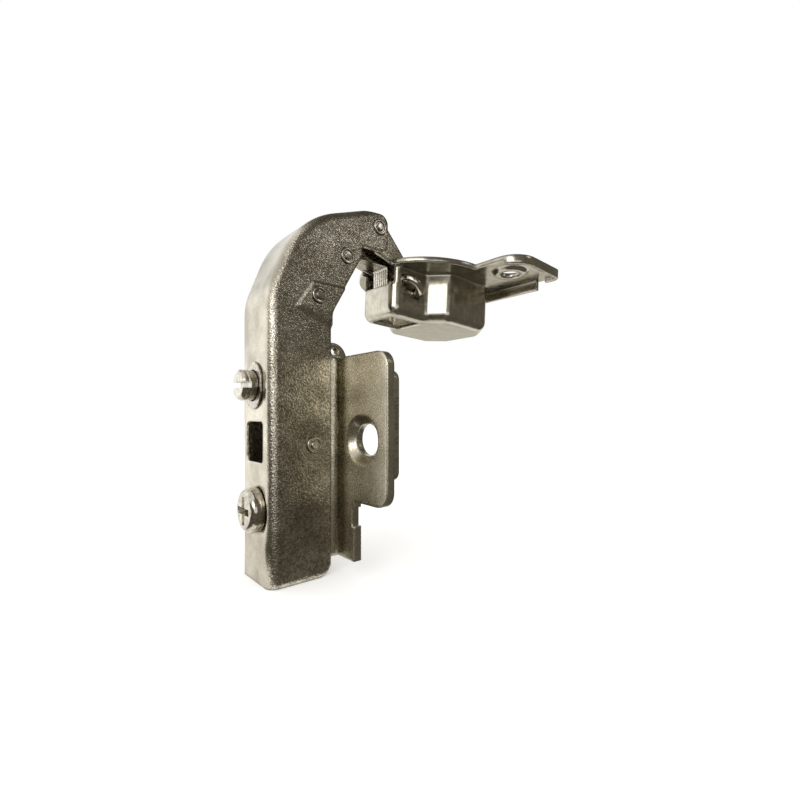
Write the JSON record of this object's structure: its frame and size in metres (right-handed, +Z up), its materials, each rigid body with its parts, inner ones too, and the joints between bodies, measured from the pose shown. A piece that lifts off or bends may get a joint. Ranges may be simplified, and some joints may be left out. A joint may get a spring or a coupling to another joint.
{
  "type": "corner cabinet hinge",
  "caption": "Concealed cup hinge for a blind-corner door: tall goose-neck channel arm, linked drawn cup with a flange, and a winged mounting plate; it swings, slides and tilts.",
  "frame": {"origin": "midway between the two mounting screws, on the plate's seating face", "axes": "+X into the panel, +Y along the hinge pins, +Z up the arm towards the cup"},
  "size_m": [0.0725, 0.0634, 0.0827],
  "materials": {
    "arm_steel": "nickel-plated pressed sheet, satin",
    "cup_steel": "nickel-plated drawn sheet, satin",
    "plate_steel": "nickel-plated pressed sheet, satin",
    "link_steel": "nickel-plated stampings",
    "rivet_steel": "plated turned steel",
    "screw_steel": "bright plated screws",
    "spring_steel": "oiled spring wire",
    "inner_steel": "plain plated steel"
  },
  "bodies": {
    "plate": {"wing_plate": "plate_steel", "backing_plate": "plate_steel"},
    "clamp": {"clamp_nut": "inner_steel"},
    "fixing_screw": {"fixing_screw": "screw_steel"},
    "adjusting_screw": {"adjusting_screw": "screw_steel"},
    "arm": {"arm": "arm_steel", "adjusting_bush": "rivet_steel", "top_rivet": "rivet_steel", "mid_rivet": "rivet_steel", "spring_rivet": "rivet_steel", "lower_rivet": "rivet_steel", "spring": "spring_steel"},
    "inner_link": {"inner_leaf_1": "link_steel", "inner_leaf_2": "link_steel", "inner_leaf_3": "link_steel", "inner_leaf_4": "link_steel", "inner_leaf_5": "link_steel", "inner_leaf_6": "link_steel", "inner_leaf_7": "link_steel"},
    "outer_link": {"outer_link": "link_steel"},
    "cup": {"cup": "cup_steel", "hairpin": "rivet_steel"}
  },
  "joints": [
    {"name": "depth_slide", "type": "slide", "parent": "plate", "child": "clamp", "axis": [0, 0, 1], "range_m": [-0.002, 0.002]},
    {"name": "fixing_screw_turn", "type": "hinge", "parent": "clamp", "child": "fixing_screw", "pos_m": [-0.01865, 0, -0.0147], "axis": [1, 0, 0], "continuous": true},
    {"name": "arm_tilt", "type": "hinge", "parent": "clamp", "child": "arm", "pos_m": [-0.0185, 0, -0.0147], "axis": [0, -1, 0], "range_deg": [-1, 1.5]},
    {"name": "adjusting_screw_turn", "type": "hinge", "parent": "clamp", "child": "adjusting_screw", "pos_m": [-0.019, 0, 0.0113], "axis": [1, 0, 0], "range_deg": [-180, 270]},
    {"name": "inner_link_swing", "type": "hinge", "parent": "arm", "child": "inner_link", "pos_m": [-0.0007, 0, 0.0407], "axis": [0, -1, 0], "range_deg": [-34.5, 0.5]},
    {"name": "outer_link_swing", "type": "hinge", "parent": "cup", "child": "outer_link", "pos_m": [0.0207, 0, 0.0362], "axis": [0, -1, 0], "range_deg": [-112.5, 0.5]},
    {"name": "door_swing", "type": "hinge", "parent": "inner_link", "child": "cup", "pos_m": [0.0169, 0, 0.0391], "axis": [0, -1, 0], "range_deg": [0, 127.2]}
  ],
  "couplings": [
    {"joint": "adjusting_screw_turn", "follows": "arm_tilt", "ratio": 163.36},
    {"joint": "inner_link_swing", "follows": "door_swing", "ratio": -0.26911},
    {"joint": "outer_link_swing", "follows": "door_swing", "ratio": -0.88094}
  ]
}
